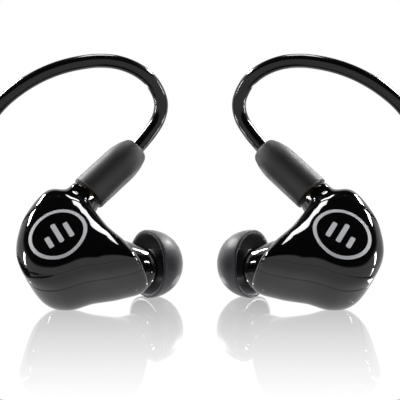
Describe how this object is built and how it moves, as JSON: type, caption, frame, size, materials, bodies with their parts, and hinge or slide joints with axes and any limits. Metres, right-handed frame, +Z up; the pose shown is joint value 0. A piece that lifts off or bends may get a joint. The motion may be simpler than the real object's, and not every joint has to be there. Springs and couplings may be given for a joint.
{
  "type": "in-ear monitors",
  "caption": "Pair of in-ear monitors with ear hooks on a detachable cable that ends in a small stereo jack.",
  "frame": {"origin": "middle of the pair's base, on the surface that the earphones and the cable lie on", "axes": "+Z up, +X from the left earphone to the right one, faces towards -Y"},
  "size_m": [0.111, 0.0868, 0.0439],
  "materials": {
    "gloss_shell": "polished injection-moulded ABS",
    "badge_ink": "pad-printed light grey ink",
    "nozzle_plastic": "moulded, satin",
    "steel_mesh": "etched screen",
    "silicone": "moulded silicone, matte",
    "gold_contact": "gold-plated contact",
    "white_insulator": "machined insulator",
    "board_green": "solder mask",
    "driver_steel": "pressed steel",
    "magnet_dark": "sintered magnet",
    "coil_copper": "enamelled copper wire",
    "diaphragm_film": "polymer film",
    "plug_steel": "nickel plated",
    "matte_barrel": "fine-textured moulding",
    "hook_tube": "glossy shrink tube",
    "cord_jacket": "satin elastomer jacket",
    "soft_black": "soft moulding",
    "tie_fabric": "woven hook-and-loop strap",
    "black_insulator": "moulded insulator"
  },
  "bodies": {
    "harness": {"left_plug_shell": "gold_contact", "left_plug_pin": "gold_contact", "left_plug_barrel": "matte_barrel", "left_hook_tube": "hook_tube", "left_branch_cord": "cord_jacket", "right_plug_shell": "gold_contact", "right_plug_pin": "gold_contact", "right_plug_barrel": "matte_barrel", "right_hook_tube": "hook_tube", "right_branch_cord": "cord_jacket", "splitter_housing": "matte_barrel", "splitter_relief": "soft_black", "main_cord_lead_in": "cord_jacket", "main_cord_coil": "cord_jacket", "main_cord_lead_out": "cord_jacket", "coil_tie": "tie_fabric", "jack_relief": "soft_black", "jack_housing": "matte_barrel", "jack_sleeve": "plug_steel", "jack_ring": "plug_steel", "jack_tip": "plug_steel", "jack_insulators": "black_insulator"},
    "slider": {"cable_slider": "soft_black"},
    "left_snap_ring": {"left_snap_ring": "plug_steel"},
    "left_earphone": {"left_outer_shell": "gloss_shell", "left_inner_shell": "gloss_shell", "left_face_badge": "badge_ink", "left_nozzle": "nozzle_plastic", "left_nozzle_screen": "steel_mesh", "left_socket_body": "gold_contact", "left_socket_insulator": "white_insulator", "left_vent_screen": "steel_mesh", "left_crossover_board": "board_green", "left_driver_frame": "driver_steel", "left_driver_yoke": "driver_steel", "left_driver_magnet": "magnet_dark", "left_voice_coil": "coil_copper", "left_diaphragm": "diaphragm_film", "left_driver_cover": "driver_steel"},
    "left_ear_tip": {"left_ear_tip": "silicone"},
    "right_snap_ring": {"right_snap_ring": "plug_steel"},
    "right_earphone": {"right_outer_shell": "gloss_shell", "right_inner_shell": "gloss_shell", "right_face_badge": "badge_ink", "right_nozzle": "nozzle_plastic", "right_nozzle_screen": "steel_mesh", "right_socket_body": "gold_contact", "right_socket_insulator": "white_insulator", "right_vent_screen": "steel_mesh", "right_crossover_board": "board_green", "right_driver_frame": "driver_steel", "right_driver_yoke": "driver_steel", "right_driver_magnet": "magnet_dark", "right_voice_coil": "coil_copper", "right_diaphragm": "diaphragm_film", "right_driver_cover": "driver_steel"},
    "right_ear_tip": {"right_ear_tip": "silicone"}
  },
  "joints": [
    {"name": "left_swivel", "type": "hinge", "parent": "harness", "child": "left_snap_ring", "pos_m": [-0.02022, -0.00423, 0.01943], "axis": [0.6807, 0.4572, 0.5724], "range_deg": [-45, 45]},
    {"name": "left_unplug", "type": "slide", "parent": "left_snap_ring", "child": "left_earphone", "axis": [-0.6807, -0.4572, -0.5724], "range_m": [0, 0.006]},
    {"name": "left_tip_pull", "type": "slide", "parent": "left_earphone", "child": "left_ear_tip", "axis": [0.8212, 0.5624, -0.0965], "range_m": [0, 0.008]},
    {"name": "right_swivel", "type": "hinge", "parent": "harness", "child": "right_snap_ring", "pos_m": [0.02022, -0.00423, 0.01943], "axis": [0.6807, -0.4572, -0.5724], "range_deg": [-45, 45]},
    {"name": "right_unplug", "type": "slide", "parent": "right_snap_ring", "child": "right_earphone", "axis": [0.6807, -0.4572, -0.5724], "range_m": [0, 0.006]},
    {"name": "right_tip_pull", "type": "slide", "parent": "right_earphone", "child": "right_ear_tip", "axis": [-0.8212, 0.5624, -0.0965], "range_m": [0, 0.008]},
    {"name": "slider_slide", "type": "slide", "parent": "harness", "child": "slider", "axis": [-0.1357, 0.9907, 0], "range_m": [-0.004, 0.004]}
  ]
}
